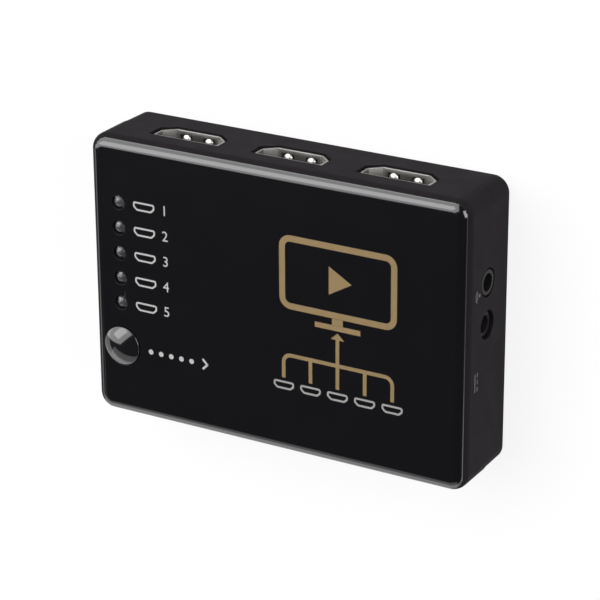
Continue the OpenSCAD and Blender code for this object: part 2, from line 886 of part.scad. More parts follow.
module select_button()
    color("#151518")
        at_button() {
            translate([0, 0, button_flange_bottom + button_flange_thickness / 2])
                cylinder(r = button_radius,
                    h = button_rim_z - button_flange_bottom - button_flange_thickness / 2);
            intersection() {
                translate([0, 0, button_rim_z + button_dome - dome_sphere])
                    sphere(dome_sphere);
                translate([0, 0, button_rim_z - merge])
                    cylinder(r = button_radius, h = button_dome + cut);
            }
            intersection() {
                translate([0, 0, button_flange_bottom])
                    cylinder(r = button_flange_radius, h = button_flange_thickness);
                translate([wall + button_wall_gap - column_inset, -button_flange_radius - cut, 0])
                    cube([4 * button_flange_radius, 2 * button_flange_radius + 2 * cut, case_height]);
            }
            translate([0, 0, plunger_z])
                cylinder(r = button_stem_radius, h = button_flange_top - plunger_z);
        }

module switch_housing()
    color("#232326")
        at_button()
            difference() {
                column(switch_size, switch_size, board_top, switch_top);
                translate([0, 0, well_bottom])
                    cylinder(r = well_radius, h = switch_height);
            }

module switch_plate()
    color("#b4b6b8")
        at_button()
            difference() {
                column(switch_size, switch_size, switch_top, switch_top + plate_thickness);
                translate([0, 0, switch_top - cut])
                    cylinder(r = plunger_radius + plunger_clearance, h = plate_thickness + 2 * cut);
            }

module switch_plunger()
    color("#3a3a3e")
        at_button() {
            translate([0, 0, plunger_flange_top - plunger_flange_height])
                cylinder(r = plunger_radius, h = plunger_z - plunger_flange_top + plunger_flange_height);
            translate([0, 0, plunger_flange_top - plunger_flange_height])
                cylinder(r = plunger_radius + plunger_flange, h = plunger_flange_height);
            translate([0, 0, well_bottom + snap_height])
                cylinder(r = nose_radius, h = plunger_flange_top - well_bottom - snap_height);
        }

module switch_dome()
    color("#c4c6c8")
        at_button()
            translate([0, 0, well_bottom])
                rotate_extrude()
                    intersection() {
                        translate([0, snap_height - snap_sphere])
                            difference() {
                                circle(snap_sphere, $fn = 4 * $fn);
                                circle(snap_sphere - snap_thickness, $fn = 4 * $fn);
                            }
                        square([snap_radius, snap_height + cut]);
                    }

module switch_terminals()
    color("#b9bbbd")
        terminal_blades();

// Slot for the power jack's sleeve spring, open to the bore and to the side
module power_spring_slot()
    translate([power_spring_back - hole_clearance, -power_width / 2 - cut,
        -spring_width / 2 - hole_clearance])
        cube([
            power_spring_length + 2 * hole_clearance,
            power_width / 2 + cut - power_bore_radius + slot_opening,
            spring_width + 2 * hole_clearance
        ]);

module power_jack_body()
    color("#1c1c1e")
        at_power_jack()
            difference() {
                union() {
                    translate([jack_face - power_length, -power_width / 2, board_top - power_z])
                        cube([power_length, power_width, power_height]);
                    rod_x(power_nose_radius, jack_face - cut, power_mouth);
                }
                rod_x(power_bore_radius, power_bore_end, power_mouth + cut);
                rod_x(power_pin_radius + power_pin_fit, jack_face - power_length - cut, jack_face);
                power_spring_slot();
            }

module power_jack_pin()
    color("#c0c2c4")
        at_power_jack() {
            rod_x(power_pin_radius, jack_face - power_length - spring_thickness, power_pin_shoulder);
            translate([power_pin_shoulder, 0, 0])
                rotate([0, 90, 0])
                    cylinder(r1 = power_pin_radius, r2 = power_pin_radius - power_pin_bevel,
                        h = power_pin_bevel);
            power_tail();
        }

module power_jack_spring()
    color("#b9a06a")
        at_power_jack() {
            translate([power_spring_back, -power_spring_y - spring_thickness, -spring_width / 2])
                cube([power_spring_length, spring_thickness, spring_width]);
            translate([power_bore_end, -(power_spring_y + power_width / 2 + spring_thickness) / 2, 0])
                column(spring_width, power_width / 2 + spring_thickness - power_spring_y,
                    -spring_thickness / 2, spring_thickness / 2);
            power_terminal();
        }

// Window of a spring in the round jack, open to the bore and to the side
module round_window(spring)
    translate([jack_face - spring[1], spring[0] * (round_width / 2 + round_slot_y + cut) / 2, 0])
        column(spring_width + 2 * hole_clearance, round_width / 2 - round_slot_y + cut,
            -spring_width / 2 - hole_clearance, spring_width / 2 + hole_clearance);

module round_jack_body()
    color("#1c1c1e")
        at_round_jack()
            difference() {
                union() {
                    translate([jack_face - round_length, -round_width / 2, board_top - round_z])
                        cube([round_length, round_width, round_height]);
                    rod_x(round_nose_radius, jack_face - cut, round_mouth);
                }
                rod_x(round_bore_radius, round_mouth - round_bore_depth, round_mouth + cut);
                for (spring = round_springs)
                    round_window(spring);
            }

module round_jack_springs()
    color("#b9a06a")
        at_round_jack()
            for (spring = round_springs) {
                translate([jack_face - spring[1],
                    spring[0] * (round_spring_y + round_width / 2 + spring_thickness) / 2, 0])
                    column(spring_width, round_width / 2 + spring_thickness - round_spring_y,
                        -spring_width / 2, spring_width / 2);
                round_leg(spring);
            }

// Chip body a little above the board
module chip(place, size_x, size_y, height)
    translate([place[0], place[1], 0])
        column(size_x, size_y, board_top + chip_gap, board_top + chip_gap + height);

// Row of bent leads along +X of a chip's edge: shoulder, riser and foot
module lead_row(edge, count, pitch, width, height)
    for (i = [0 : count - 1])
        translate([edge, (i - (count - 1) / 2) * pitch, 0]) {
            shoulder_z = board_top + chip_gap + height / 2;
            foot_x = chip_lead_reach / 2;
            translate([0, -width / 2, shoulder_z - chip_lead_thickness])
                cube([foot_x, width, chip_lead_thickness]);
            translate([foot_x - chip_lead_thickness, -width / 2, board_top])
                cube([chip_lead_thickness, width, shoulder_z - board_top]);
            translate([foot_x - chip_lead_thickness, -width / 2, board_top])
                cube([chip_lead_reach - foot_x + chip_lead_thickness, width, chip_lead_thickness]);
        }

module selector_chip()
    color("#232326")
        chip([0, 0], selector_size, selector_size, selector_height);

module selector_leads()
    color("#b9bbbd")
        for (turn = [0 : 90 : 270])
            rotate(turn)
                lead_row(selector_size / 2, selector_lead_count, selector_pitch, selector_lead_width,
                    selector_height);

module controller_chip()
    color("#232326")
        chip(controller_place, controller_width, controller_length, controller_height);

module controller_leads()
    color("#b9bbbd")
        translate(controller_place)
            for (turn = [0, 180])
                rotate(turn)
                    lead_row(controller_width / 2, controller_lead_count, controller_pitch,
                        controller_lead_width, controller_height);

module regulator()
    color("#232326")
        chip(regulator_place, regulator_width, regulator_length, regulator_height);

// Three leads on one side and a wide tab on the other
module regulator_leads()
    color("#b9bbbd")
        translate(regulator_place) {
            lead_row(regulator_width / 2, 3, regulator_pitch, regulator_lead_width, regulator_height);
            rotate(180)
                lead_row(regulator_width / 2, 1, regulator_pitch, regulator_length / 2, regulator_height);
        }

module filter_capacitor_can()
    color("#c8cacc")
        translate([can_place[0], can_place[1], board_top + can_base_thickness])
            cylinder(r = can_radius, h = can_height);

module filter_capacitor_base()
    color("#202022")
        translate([can_place[0], can_place[1], 0])
            column(can_base_size, can_base_size, board_top, board_top + can_base_thickness);

// Two small capacitors beside each edge of the selector chip
module small_capacitors()
    color("#9a7b55")
        for (turn = [0 : 90 : 270], side = [-1, 1])
            rotate(turn)
                translate([selector_size / 2 + capacitor_ring, side * capacitor_spacing / 2, 0])
                    column(capacitor_width, capacitor_length, board_top, board_top + capacitor_height);

module resistor_body()
    column(resistor_width, resistor_length, board_top, board_top + resistor_height);

// A row of resistors behind each socket and one beside each lamp
module resistors()
    color("#2a2a2e") {
        for (number = [1 : socket_count], i = [0 : resistor_columns - 1])
            at_socket(number)
                translate([(i - (resistor_columns - 1) / 2) * resistor_spacing, -resistor_depth, -socket_z])
                    resistor_body();
        for (number = [1 : lamp_count])
            at_lamp(number)
                translate([lamp_resistor_offset, 0, 0])
                    resistor_body();
    }

top_cover();
bottom_cover();
case_screws();
circuit_board();
for (i = [1 : socket_count]) {
    at_socket(i) video_socket_shell();
    at_socket(i) video_socket_core();
    at_socket(i) video_socket_contacts();
}
for (i = [1 : lamp_count])
    at_lamp(i) indicator_lamp();
lamp_leads();
select_button();
switch_housing();
switch_plate();
switch_plunger();
switch_dome();
switch_terminals();
power_jack_body();
power_jack_pin();
power_jack_spring();
round_jack_body();
round_jack_springs();
selector_chip();
selector_leads();
controller_chip();
controller_leads();
regulator();
regulator_leads();
filter_capacitor_can();
filter_capacitor_base();
small_capacitors();
resistors();
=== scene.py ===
# Video switch box: five video sockets in and one out, in a flat two-part case that lies on a shelf.
import math

import bmesh
import bpy
from mathutils import Matrix, Vector


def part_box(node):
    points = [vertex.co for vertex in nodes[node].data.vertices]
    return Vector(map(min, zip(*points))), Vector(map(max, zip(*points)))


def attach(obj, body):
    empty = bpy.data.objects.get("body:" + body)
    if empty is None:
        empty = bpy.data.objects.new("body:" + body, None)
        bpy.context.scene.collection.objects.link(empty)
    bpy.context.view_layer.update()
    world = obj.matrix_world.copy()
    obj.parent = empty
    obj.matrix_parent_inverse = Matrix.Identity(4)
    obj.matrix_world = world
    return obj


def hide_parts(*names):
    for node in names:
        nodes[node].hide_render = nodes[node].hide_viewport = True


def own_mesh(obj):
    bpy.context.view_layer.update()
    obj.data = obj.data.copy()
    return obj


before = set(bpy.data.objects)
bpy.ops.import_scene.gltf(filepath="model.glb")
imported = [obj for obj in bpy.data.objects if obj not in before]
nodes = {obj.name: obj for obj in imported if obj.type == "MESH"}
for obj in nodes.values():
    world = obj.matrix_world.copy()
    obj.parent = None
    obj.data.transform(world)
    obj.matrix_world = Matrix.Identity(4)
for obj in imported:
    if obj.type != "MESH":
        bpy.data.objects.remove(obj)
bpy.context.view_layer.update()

# Top cover: the deep upper half of the case, one moulding in black plastic with four screw posts inside.
# The mould is polished over the panel and its rounded rim, from a little higher up on the edge by the lamps,
# and spark-eroded to a fine texture on the sides.
mm = 0.001
panel_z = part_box("top_cover")[1].z
cover_edge = 0.1 * mm
rim_radius = 2.5 * mm
polish_slope = 0.64
lamp_end_rise = 0.7


def finish(name, colour, rough, grain, depth, drift=0.2, metal=0.0, specular=0.5):
    """A material with a fine grain (its size and depth in mm) and a slow drift in tone and gloss."""
    material = bpy.data.materials.new(name)
    material.use_nodes = True
    make = material.node_tree.nodes.new
    join = material.node_tree.links.new
    shader = material.node_tree.nodes["Principled BSDF"]
    shader.inputs["Metallic"].default_value = metal
    shader.inputs["Specular IOR Level"].default_value = specular
    place = make("ShaderNodeTexCoord")
    patches = make("ShaderNodeTexNoise")
    patches.inputs["Scale"].default_value = 1 / (20 * grain * mm)
    patches.inputs["Detail"].default_value = 3.0
    join(place.outputs["Object"], patches.inputs["Vector"])
    tones = make("ShaderNodeValToRGB")
    tones.color_ramp.elements[0].color = [c * (1 - drift) for c in colour] + [1.0]
    tones.color_ramp.elements[1].color = [c * (1 + drift) for c in colour] + [1.0]
    join(patches.outputs["Fac"], tones.inputs["Fac"])
    join(tones.outputs["Color"], shader.inputs["Base Color"])
    gloss = make("ShaderNodeMapRange")
    gloss.inputs["To Min"].default_value = rough * (1 - drift)
    gloss.inputs["To Max"].default_value = rough * (1 + drift)
    join(patches.outputs["Fac"], gloss.inputs["Value"])
    join(gloss.outputs["Result"], shader.inputs["Roughness"])
    grains = make("ShaderNodeTexNoise")
    grains.inputs["Scale"].default_value = 1 / (grain * mm)
    grains.inputs["Detail"].default_value = 2.0
    join(place.outputs["Object"], grains.inputs["Vector"])
    relief = make("ShaderNodeBump")
    relief.inputs["Distance"].default_value = depth * mm
    join(grains.outputs["Fac"], relief.inputs["Height"])
    join(relief.outputs["Normal"], shader.inputs["Normal"])
    return material


def shown(name, mesh, body):
    """A finished mesh as a piece of the object, on a body of the frame."""
    piece = bpy.data.objects.new(name, mesh)
    bpy.context.scene.collection.objects.link(piece)
    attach(piece, body)
    return piece


def moulded(name, node, edge, *finishes, body="case"):
    """A copy of a node's solid, merged to whole faces, with its sharp edges broken by a small bevel."""
    work = bmesh.new()
    work.from_mesh(nodes[node].data)
    bmesh.ops.remove_doubles(work, verts=work.verts, dist=0.0005 * mm)
    bmesh.ops.dissolve_limit(work, angle_limit=math.radians(0.4), verts=work.verts, edges=work.edges)
    mesh = bpy.data.meshes.new(name)
    work.to_mesh(mesh)
    work.free()
    for stale in ("custom_normal", "sharp_edge", "sharp_face"):
        if stale in mesh.attributes:
            mesh.attributes.remove(mesh.attributes[stale])
    mesh.shade_smooth()
    for material in finishes:
        mesh.materials.append(material)
    piece = shown(name, mesh, body)
    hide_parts(node)
    bevel = piece.modifiers.new("broken edges", "BEVEL")
    bevel.width = edge
    bevel.segments = 2
    bevel.limit_method = "ANGLE"
    bevel.angle_limit = math.radians(35)
    piece.modifiers.new("even shading", "WEIGHTED_NORMAL")
    return piece


case_texture = finish("case_texture", (0.012, 0.01, 0.0119), 0.65, 0.22, 0.012, specular=0.05)
panel_gloss = finish("panel_gloss", (0.0028, 0.0028, 0.0038), 0.12, 0.5, 0.0006, drift=0.12, specular=1.0)
top_cover = moulded("case_top", "top_cover", cover_edge, case_texture, panel_gloss)
for face in top_cover.data.polygons:
    limit = polish_slope - lamp_end_rise * min(face.normal.x, 0.0)
    face.material_index = int(face.center.z > panel_z - rim_radius and face.normal.z > limit)

# Bottom cover: the shallow tray that closes the case from below, in the same black plastic.
# It stands in by a hair at the joint line, as moulded halves do, and holds the board on its posts.
moulded("case_bottom", "bottom_cover", cover_edge, case_texture)

# Screws of the case: four pan-head screws in blackened steel, from below through the bottom cover's posts.
# Each has a rolled thread and a cross recess.
screw_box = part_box("case_screws")
head_radius = 2.1 * mm
head_round = 0.55 * mm
head_height = 1.5 * mm
recess_depth = 0.8 * mm
recess_length = 3.0 * mm
recess_width = 0.6 * mm
core_radius = 0.92 * mm
thread_pitch = 0.8 * mm
thread_size = 0.18 * mm


def arc(radius, height, bend, start, end, steps):
    """Points (radius, height) on an arc of a turned outline, round a centre, from one angle to another."""
    angles = [math.radians(start + (end - start) * i / steps) for i in range(steps + 1)]
    return [(radius + bend * math.cos(a), height + bend * math.sin(a)) for a in angles]


def lathe(name, outline, steps=48, closed=False):
    """A mesh turned about Z from an outline of (radius, height) points. Closed joins the outline's ends."""
    work = bmesh.new()
    rings = []
    for radius, height in outline:
        turn = [2 * math.pi * i / steps for i in range(steps)]
        if radius < 1e-9:
            rings.append([work.verts.new((0, 0, height))] * steps)
        else:
            rings.append([work.verts.new((radius * math.cos(a), radius * math.sin(a), height)) for a in turn])
    pairs = list(zip(rings, rings[1:] + rings[:1]))
    for low, high in pairs if closed else pairs[:-1]:
        for i in range(steps):
            j = (i + 1) % steps
            corners = list(dict.fromkeys((low[i], low[j], high[j], high[i])))
            if len(corners) > 2:
                work.faces.new(corners)
    bmesh.ops.recalc_face_normals(work, faces=work.faces)
    mesh = bpy.data.meshes.new(name)
    work.to_mesh(mesh)
    work.free()
    mesh.shade_smooth()
    mesh.set_sharp_from_angle(angle=math.radians(40))
    return mesh


def block(low, high):
    """A plain box between two corners, as a tool for carving or a small stamped leg."""
    work = bmesh.new()
    bmesh.ops.create_cube(work, size=1.0)
    for vert in work.verts:
        vert.co = [lo + (co + 0.5) * (hi - lo) for lo, hi, co in zip(low, high, vert.co)]
    mesh = bpy.data.meshes.new("block")
    work.to_mesh(mesh)
    work.free()
    return mesh


def joined(name, *meshes):
    """Several meshes as one."""
    work = bmesh.new()
    for mesh in meshes:
        work.from_mesh(mesh)
    whole = bpy.data.meshes.new(name)
    work.to_mesh(whole)
    work.free()
    return whole


def carved(mesh, *cutters):
    """A mesh with the shapes of the cutters taken out of it."""
    for cutter in cutters:
        stock = bpy.data.objects.new("stock", mesh)
        tool = bpy.data.objects.new("tool", cutter)
        bpy.context.scene.collection.objects.link(stock)
        bpy.context.scene.collection.objects.link(tool)
        cut = stock.modifiers.new("cut", "BOOLEAN")
        cut.object = tool
        cut.solver = "EXACT"
        mesh = bpy.data.meshes.new_from_object(stock.evaluated_get(bpy.context.evaluated_depsgraph_get()))
        bpy.data.objects.remove(stock)
        bpy.data.objects.remove(tool)
    return mesh


def node_tree(name, **inputs):
    """An empty Geometry Nodes tree with a geometry in and out and the named inputs between."""
    tree = bpy.data.node_groups.new(name, "GeometryNodeTree")
    tree.interface.new_socket("Geometry", in_out="INPUT", socket_type="NodeSocketGeometry")
    for label, kind in inputs.items():
        tree.interface.new_socket(label, in_out="INPUT", socket_type="NodeSocket" + kind)
    tree.interface.new_socket("Geometry", in_out="OUTPUT", socket_type="NodeSocketGeometry")
    return tree, tree.nodes.new("NodeGroupInput"), tree.nodes.new("NodeGroupOutput")


def finished_tree(tree, given, geometry, result):
    """Ends a tree: realizes its instances, sets its finish and links it to the output."""
    real = tree.nodes.new("GeometryNodeRealizeInstances")
    paint = tree.nodes.new("GeometryNodeSetMaterial")
    tree.links.new(geometry, real.inputs["Geometry"])
    tree.links.new(real.outputs["Geometry"], paint.inputs["Geometry"])
    tree.links.new(given.outputs["Finish"], paint.inputs["Material"])
    tree.links.new(paint.outputs["Geometry"], result.inputs["Geometry"])
    return tree


def grown(host, tree, **settings):
    """The plain mesh that a Geometry Nodes tree makes from a host mesh, with its named inputs set."""
    carrier = bpy.data.objects.new("carrier", host)
    bpy.context.scene.collection.objects.link(carrier)
    modifier = carrier.modifiers.new("tree", "NODES")
    modifier.node_group = tree
    for item in tree.interface.items_tree:
        if item.name in settings:
            modifier[item.identifier] = settings[item.name]
    mesh = bpy.data.meshes.new_from_object(carrier.evaluated_get(bpy.context.evaluated_depsgraph_get()))
    bpy.data.objects.remove(carrier)
    return mesh


def spots(places, turns=None):
    """A mesh of bare points, each with a turn about Z, for a tree to set copies on."""
    mesh = bpy.data.meshes.new("spots")
    mesh.from_pydata(places, [], [])
    angle = mesh.attributes.new("turn", "FLOAT", "POINT")
    for i, turn in enumerate(turns or [0.0] * len(places)):
        angle.data[i].value = turn
    return mesh


def screw_tree():
    """A screw on each point: the given head, a core and a rolled thread round it."""
    tree, given, result = node_tree("screws", Head="Object", Core="Float", Length="Float", Pitch="Float",
                                    Thread="Float", Start="Vector", Finish="Material")
    make, join = tree.nodes.new, tree.links.new
    head = make("GeometryNodeObjectInfo")
    join(given.outputs["Head"], head.inputs["Object"])
    turns = make("ShaderNodeMath")
    turns.operation = "DIVIDE"
    join(given.outputs["Length"], turns.inputs[0])
    join(given.outputs["Pitch"], turns.inputs[1])
    helix = make("GeometryNodeCurveSpiral")
    helix.inputs["Resolution"].default_value = 24
    join(turns.outputs["Value"], helix.inputs["Rotations"])
    join(given.outputs["Core"], helix.inputs["Start Radius"])
    join(given.outputs["Core"], helix.inputs["End Radius"])
    join(given.outputs["Length"], helix.inputs["Height"])
    ridge = make("GeometryNodeCurvePrimitiveCircle")
    ridge.inputs["Resolution"].default_value = 6
    join(given.outputs["Thread"], ridge.inputs["Radius"])
    thread = make("GeometryNodeCurveToMesh")
    thread.inputs["Fill Caps"].default_value = True
    join(helix.outputs["Curve"], thread.inputs["Curve"])
    join(ridge.outputs["Curve"], thread.inputs["Profile Curve"])
    raised = make("GeometryNodeTransform")
    join(thread.outputs["Mesh"], raised.inputs["Geometry"])
    join(given.outputs["Start"], raised.inputs["Translation"])
    whole = make("GeometryNodeJoinGeometry")
    join(raised.outputs["Geometry"], whole.inputs["Geometry"])
    join(head.outputs["Geometry"], whole.inputs["Geometry"])
    copies = make("GeometryNodeInstanceOnPoints")
    join(given.outputs["Geometry"], copies.inputs["Points"])
    join(whole.outputs["Geometry"], copies.inputs["Instance"])
    return finished_tree(tree, given, copies.outputs["Instances"], result)


screw_length = screw_box[1].z - screw_box[0].z
screw_outline = [(0, 0), *arc(head_radius - head_round, head_round, head_round, -90, 0, 6),
                 (head_radius, head_height), (core_radius, head_height),
                 (core_radius, screw_length - core_radius / 2), (core_radius / 2, screw_length),
                 (0, screw_length)]
recess = [block((-along / 2, -across / 2, -mm), (along / 2, across / 2, recess_depth))
          for along, across in ((recess_length, recess_width), (recess_width, recess_length))]
screw_head = bpy.data.objects.new("screw_head", carved(lathe("screw_head", screw_outline), *recess))
bpy.context.scene.collection.objects.link(screw_head)
screw_x = screw_box[1].x - head_radius
screw_y = screw_box[1].y - head_radius
screw_places = [(x, y, screw_box[0].z) for x in (-screw_x, screw_x) for y in (-screw_y, screw_y)]
black_steel = finish("blackened_steel", (0.05, 0.05, 0.055), 0.38, 0.1, 0.004, metal=0.9)
screws = shown("case_screw_set", grown(
    spots(screw_places), screw_tree(), Head=screw_head, Core=core_radius, Pitch=thread_pitch,
    Thread=thread_size, Length=screw_length - head_height - 2 * core_radius,
    Start=(0, 0, head_height + core_radius), Finish=black_steel), "case")
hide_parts("case_screws")
bpy.data.objects.remove(screw_head)

# Circuit board: glass laminate under green solder resist, with the copper tracks showing through as
# lighter lines. It lies on the bottom cover's posts and is held by the same four screws.
track_pitch = 1.6 * mm
track_share = 0.12
resist_green = (0.012, 0.1, 0.045)


def dress(material, *names):
    """Gives a finish to nodes whose solids stay as they are."""
    for name in names:
        for held in nodes[name].material_slots:
            held.material = material


solder_resist = finish("solder_resist", resist_green, 0.35, 0.4, 0.002)
tracks = solder_resist.node_tree.nodes.new("ShaderNodeTexBrick")
tracks.inputs["Scale"].default_value = 1 / track_pitch
tracks.inputs["Mortar Size"].default_value = track_share
tracks.inputs["Color1"].default_value = (*resist_green, 1)
tracks.inputs["Color2"].default_value = (0.015, 0.11, 0.05, 1)
tracks.inputs["Mortar"].default_value = (0.05, 0.2, 0.075, 1)
track_place = solder_resist.node_tree.nodes.new("ShaderNodeTexCoord")
solder_resist.node_tree.links.new(track_place.outputs["Object"], tracks.inputs["Vector"])
solder_resist.node_tree.links.new(
    tracks.outputs["Color"], solder_resist.node_tree.nodes["Principled BSDF"].inputs["Base Color"])
dress(solder_resist, "circuit_board")

# Video sockets: six shells folded from nickel-plated sheet, with a rolled rim, legs through the board
# and two spring fingers in the narrow wall, each with a pressed bump that grips the plug.
sockets = range(1, 7)
socket_boxes = [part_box(f"video_socket_shell_{i}") for i in sockets]
mouth_half = 7.0 * mm
mouth_foot = 4.8 * mm
mouth_top = 2.275 * mm
mouth_knee = -0.325 * mm
sheet = 0.4 * mm
rim_width = 0.3 * mm
lip_radius = 0.1 * mm
roll_radius = 0.5 * mm
shell_depth = 11.9 * mm
fold_radius = 0.35 * mm
finger_x = 2.6 * mm
finger_width = 2.1 * mm
finger_start = 0.9 * mm
finger_length = 4.2 * mm
slit = 0.25 * mm
bump_y = -1.8 * mm
bump_radius = 0.95 * mm
bump_height = 0.45 * mm
leg_x = 7.2 * mm
leg_rows = (-4.0 * mm, -9.6 * mm)
leg_low = -5.275 * mm
leg_high = 0.675 * mm
leg_half = (0.2 * mm, 0.5 * mm)


def mouth_corners(grow):
    """The corners (across, up) of a socket's D-shaped mouth, every wall moved outwards by the same amount."""
    slope = math.hypot(mouth_half - mouth_foot, mouth_knee + mouth_top)
    lean = (mouth_half - mouth_foot) / slope
    rise = (mouth_knee + mouth_top) / slope
    knee = mouth_knee - grow * (1 - rise) / lean
    foot = mouth_foot + grow * (1 - lean) / rise
    right = [(mouth_half + grow, mouth_top + grow), (mouth_half + grow, knee), (foot, -mouth_top - grow)]
    return right + [(-across, up) for across, up in reversed(right)]


def rounded(corners, radius, steps):
    """Points round a convex outline whose corners are bent to a radius."""
    points = []
    for before, here, after in zip(corners[-1:] + corners[:-1], corners, corners[1:] + corners[:1]):
        back = (Vector(before) - Vector(here)).normalized()
        on = (Vector(after) - Vector(here)).normalized()
        half = back.angle(on) / 2
        centre = Vector(here) + (back + on).normalized() * radius / math.sin(half)
        first = Vector(here) + back * radius / math.tan(half) - centre
        last = Vector(here) + on * radius / math.tan(half) - centre
        for i in range(steps + 1):
            share = i / steps
            points.append(centre + (first * (1 - share) + last * share).normalized() * radius)
    return points


def socket_shell():
    """One shell: the sheet's section carried round the mouth, then slits and legs."""
    roll_grow = sheet + rim_width - roll_radius
    section = [(-shell_depth, 0.0), *arc(-lip_radius, lip_radius, lip_radius, -90, 0, 3),
               *arc(-roll_radius, roll_grow, roll_radius, 0, 90, 6), (-roll_radius - lip_radius, sheet),
               (-shell_depth, sheet)]
    work = bmesh.new()
    rings = []
    for depth, grow in section:
        outline = rounded(mouth_corners(grow), fold_radius + grow, 5)
        rings.append([work.verts.new((point.x, depth, point.y)) for point in outline])
    for near, far in zip(rings, rings[1:] + rings[:1]):
        for i in range(len(near)):
            j = (i + 1) % len(near)
            work.faces.new((near[i], near[j], far[j], far[i]))
    bmesh.ops.recalc_face_normals(work, faces=work.faces)
    shell = bpy.data.meshes.new("shell")
    work.to_mesh(shell)
    work.free()
    low = -mouth_top - 2 * sheet
    high = -mouth_top + sheet / 2
    back = -finger_start - finger_length
    cutters = []
    for x in (-finger_x, finger_x):
        for edge in (x - finger_width / 2 - slit, x + finger_width / 2):
            cutters.append(block((edge, back, low), (edge + slit, -finger_start, high)))
        cutters.append(block((x - finger_width / 2 - slit / 2, -finger_start - slit, low),
                             (x + finger_width / 2 + slit / 2, -finger_start, high)))
    shell = carved(shell, *cutters)
    shell.shade_smooth()
    shell.set_sharp_from_angle(angle=math.radians(50))
    parts = [shell]
    for x in (-leg_x, leg_x):
        for y in leg_rows:
            parts.append(block((x - leg_half[0], y - leg_half[1], leg_low),
                               (x + leg_half[0], y + leg_half[1], leg_high)))
    return joined("socket_shell", *parts)


def finger_bumps():
    """The two pressed bumps of one shell, low domes on its spring fingers."""
    bulge = (bump_radius ** 2 + bump_height ** 2) / (2 * bump_height)
    edge_angle = math.degrees(math.acos(bump_radius / bulge))
    dome = [(0, -sheet / 2), (bump_radius, -sheet / 2),
            *arc(0, bump_height - bulge, bulge, edge_angle, 90, 8)]
    bumps = []
    for x in (-finger_x, finger_x):
        bump = lathe("bump", dome, 32)
        bump.transform(Matrix.Translation((x, bump_y, -mouth_top)))
        bumps.append(bump)
    return joined("finger_bumps", *bumps)


def copy_tree():
    """A copy of the given pattern on each point, turned by the point's own angle."""
    tree, given, result = node_tree("copies", Pattern="Object", Finish="Material")
    make, join = tree.nodes.new, tree.links.new
    pattern = make("GeometryNodeObjectInfo")
    join(given.outputs["Pattern"], pattern.inputs["Object"])
    angle = make("GeometryNodeInputNamedAttribute")
    angle.data_type = "FLOAT"
    angle.inputs["Name"].default_value = "turn"
    turn = make("FunctionNodeAxisAngleToRotation")
    turn.inputs["Axis"].default_value = (0, 0, 1)
    join(angle.outputs["Attribute"], turn.inputs["Angle"])
    copies = make("GeometryNodeInstanceOnPoints")
    join(given.outputs["Geometry"], copies.inputs["Points"])
    join(pattern.outputs["Geometry"], copies.inputs["Instance"])
    join(turn.outputs["Rotation"], copies.inputs["Rotation"])
    return finished_tree(tree, given, copies.outputs["Instances"], result)


copies_on_points = copy_tree()


def set_out(name, pattern, places, material, turns=None):
    """Copies of one pattern mesh at each place, as one piece of the object."""
    master = bpy.data.objects.new("master", pattern)
    bpy.context.scene.collection.objects.link(master)
    mesh = grown(spots(places, turns), copies_on_points, Pattern=master, Finish=material)
    bpy.data.objects.remove(master)
    return shown(name, mesh, "case")


nickel_sheet = finish("nickel_sheet", (0.3, 0.29, 0.277), 0.38, 0.15, 0.002, metal=1.0)
# The bumps are the shell's own nickel, but their much brighter copy of it is a painted highlight, so they shine
# white.
painted_highlight_nickel = finish("nickel_painted_highlight", (0.88, 0.87, 0.85), 0.4, 0.15, 0.001, metal=1.0)
socket_places = []
socket_turns = []
for low, high in socket_boxes:
    shown_side = high.y > 0
    mouth = high.y if shown_side else low.y
    socket_places.append(((low.x + high.x) / 2, mouth, high.z - mouth_top - sheet - rim_width))
    socket_turns.append(0.0 if shown_side else math.pi)
shells = set_out("socket_shells", socket_shell(), socket_places, nickel_sheet,
                 socket_turns)
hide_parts(*[f"video_socket_shell_{i}" for i in sockets])
# The bumps carry the brighter copy of the nickel, a painted highlight.
set_out("socket_finger_bumps", finger_bumps(), socket_places, painted_highlight_nickel,
        socket_turns)

# Socket cores: black moulded inserts pushed into the shells from behind, each with a thin tongue.
# Nineteen gilt contacts lie along the tongue's two faces.
fine_edge = 0.08 * mm
socket_plastic = finish("socket_plastic", (0.012, 0.012, 0.013), 0.5, 0.2, 0.004)
gilt = finish("gilt_contacts", (0.8, 0.57, 0.2), 0.25, 0.1, 0.001, metal=1.0)
for i in sockets:
    moulded(f"socket_core_{i}", f"video_socket_core_{i}", fine_edge, socket_plastic)
    dress(gilt, f"video_socket_contacts_{i}")

# Indicator lamps: five small lamps cast in clear resin, each with a domed top and a collar at its foot.
# Inside are the cup and post of the lead frame, on two square leads that go down to the board.
lamps = range(1, 6)
lamp_boxes = [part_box(f"indicator_lamp_{i}") for i in lamps]
lens_radius = 1.45 * mm
collar_radius = 1.65 * mm
collar_height = 1.0 * mm
collar_edge = 0.1 * mm
cup_radius = 0.6 * mm
cup_foot = 0.3 * mm
cup_floor = 0.25 * mm
cup_wall = 0.1 * mm
cup_height = 2.6 * mm
cup_depth = 0.3 * mm
cup_y = 0.25 * mm
lead_half = 0.25 * mm
lead_low = 1.0 * mm
anvil_y = (0.1 * mm, 1.2 * mm)
post_y = (-1.2 * mm, -0.75 * mm)
lens_height = lamp_boxes[0][1].z - lamp_boxes[0][0].z
lens_outline = [(0, 0), (collar_radius, 0), (collar_radius, collar_height - collar_edge),
                (collar_radius - collar_edge, collar_height), (lens_radius, collar_height),
                *arc(0, lens_height - lens_radius, lens_radius, 0, 90, 16)]
cup_low = cup_height - 2 * cup_depth
cup_outline = [(0, cup_low), (cup_foot, cup_low), (cup_radius, cup_height), (cup_radius - cup_wall, cup_height),
               (cup_floor, cup_height - cup_depth), (0, cup_height - cup_depth)]
cup = lathe("cup", cup_outline, 24)
cup.transform(Matrix.Translation((0, cup_y, 0)))
lead_frame = joined(
    "lead_frame", cup,
    block((-lead_half, anvil_y[0], lead_low), (lead_half, anvil_y[1], cup_height - 0.5 * mm)),
    block((-lead_half, post_y[0], lead_low), (lead_half, post_y[1], cup_height + 0.15 * mm)))
